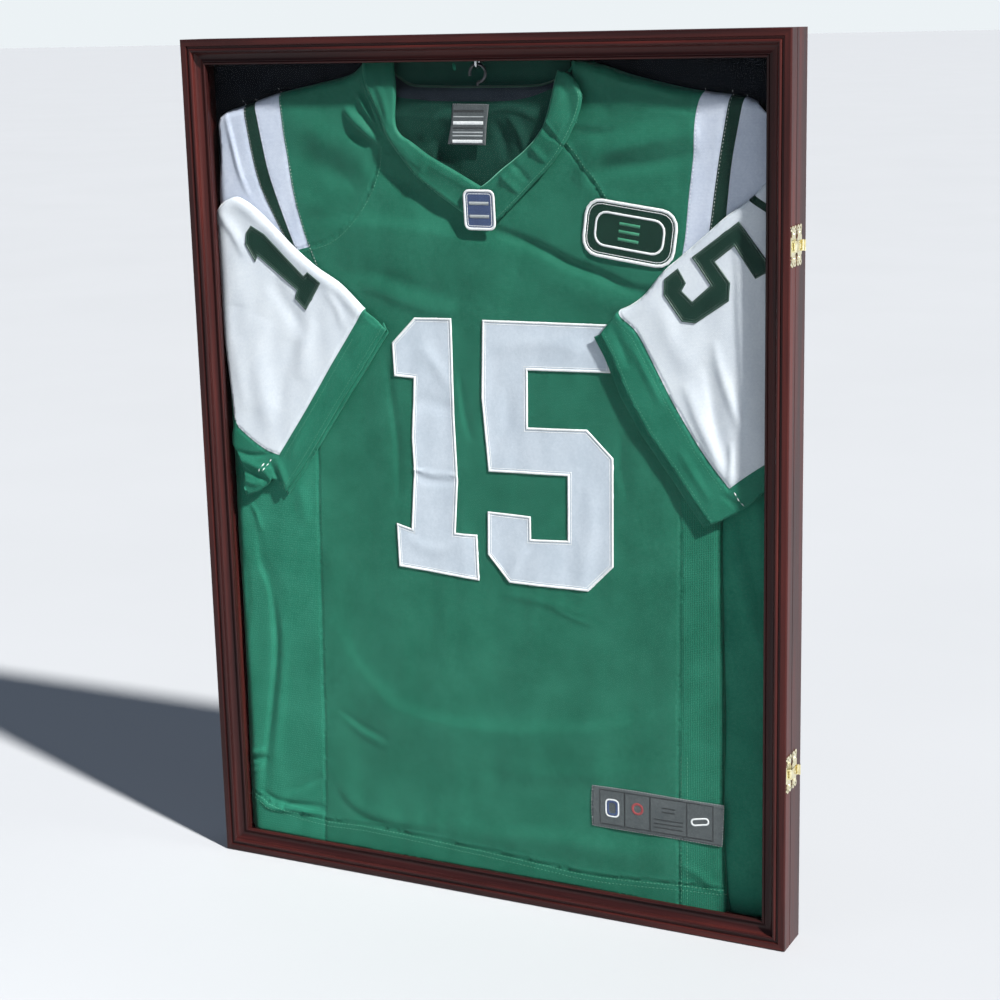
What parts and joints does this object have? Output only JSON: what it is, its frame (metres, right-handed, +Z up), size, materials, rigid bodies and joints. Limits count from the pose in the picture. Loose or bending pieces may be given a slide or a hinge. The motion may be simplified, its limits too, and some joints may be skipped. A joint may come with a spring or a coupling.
{
  "type": "jersey display frame",
  "caption": "Shallow wooden wall display frame with a hinged, moulded and glazed door, brass hasps on one side and a sports jersey hung inside",
  "frame": {"origin": "midway between the entry holes of the two keyhole plates, on the plane of the back that lies on the wall", "axes": "+X to the viewer's right, +Y into the wall (the front faces -Y), +Z up"},
  "size_m": [0.623, 0.041, 0.826],
  "materials": {
    "wood": "dark mahogany stain under satin lacquer",
    "hardboard": "smooth raw hardboard",
    "felt": "near-black blue felt",
    "acrylic": "clear polished sheet",
    "brass": "stamped and lightly aged",
    "steel": "zinc plated",
    "hanger_plastic": "moulded, matt",
    "jersey_knit": "green polyester knit",
    "jersey_trim": "dark green ribbed knit",
    "jersey_sleeve": "white polyester knit"
  },
  "bodies": {
    "case": {"case_rail_bottom": "wood", "case_side_left": "wood", "case_rail_top": "wood", "case_side_right": "wood", "back_panel": "hardboard", "back_panel_screws": "steel", "felt_backing": "felt", "keyhole_plate_left": "steel", "keyhole_plate_right": "steel", "keyhole_plate_screws": "steel", "hinge_lower_case_leaf": "brass", "hinge_middle_case_leaf": "brass", "hinge_upper_case_leaf": "brass", "hinge_lower_pin": "brass", "hinge_middle_pin": "brass", "hinge_upper_pin": "brass", "hinge_case_screws": "brass", "latch_lower_catch_plate": "brass", "latch_upper_catch_plate": "brass", "latch_catch_nails": "brass", "screw_hook": "steel", "jersey_hanger_bar": "hanger_plastic", "jersey_hanger_wire": "steel", "jersey_body": "jersey_knit", "jersey_collar": "jersey_trim", "jersey_sleeve_left": "jersey_sleeve", "jersey_sleeve_right": "jersey_sleeve"},
    "door": {"door_rail_bottom": "wood", "door_stile_left": "wood", "door_rail_top": "wood", "door_stile_right": "wood", "clear_panel": "acrylic", "glazing_bead_bottom": "wood", "glazing_bead_left": "wood", "glazing_bead_top": "wood", "glazing_bead_right": "wood", "glazing_brads": "steel", "hinge_lower_door_leaf": "brass", "hinge_middle_door_leaf": "brass", "hinge_upper_door_leaf": "brass", "hinge_door_screws": "brass", "latch_lower_door_plate": "brass", "latch_upper_door_plate": "brass", "latch_door_nails": "brass", "latch_lower_pin": "brass", "latch_upper_pin": "brass"},
    "hasp_lower": {"latch_lower_hasp": "brass"},
    "hasp_upper": {"latch_upper_hasp": "brass"}
  },
  "joints": [
    {"name": "door_hinge", "type": "hinge", "parent": "case", "child": "door", "pos_m": [-0.3083, -0.0263, -0.371], "axis": [0, 0, -1], "range_deg": [0, 180]},
    {"name": "hasp_lower_hinge", "type": "hinge", "parent": "door", "child": "hasp_lower", "pos_m": [0.3073, -0.0343, -0.613], "axis": [0, 0, -1], "range_deg": [0, 135]},
    {"name": "hasp_upper_hinge", "type": "hinge", "parent": "door", "child": "hasp_upper", "pos_m": [0.3073, -0.0343, -0.139], "axis": [0, 0, -1], "range_deg": [0, 135]}
  ]
}
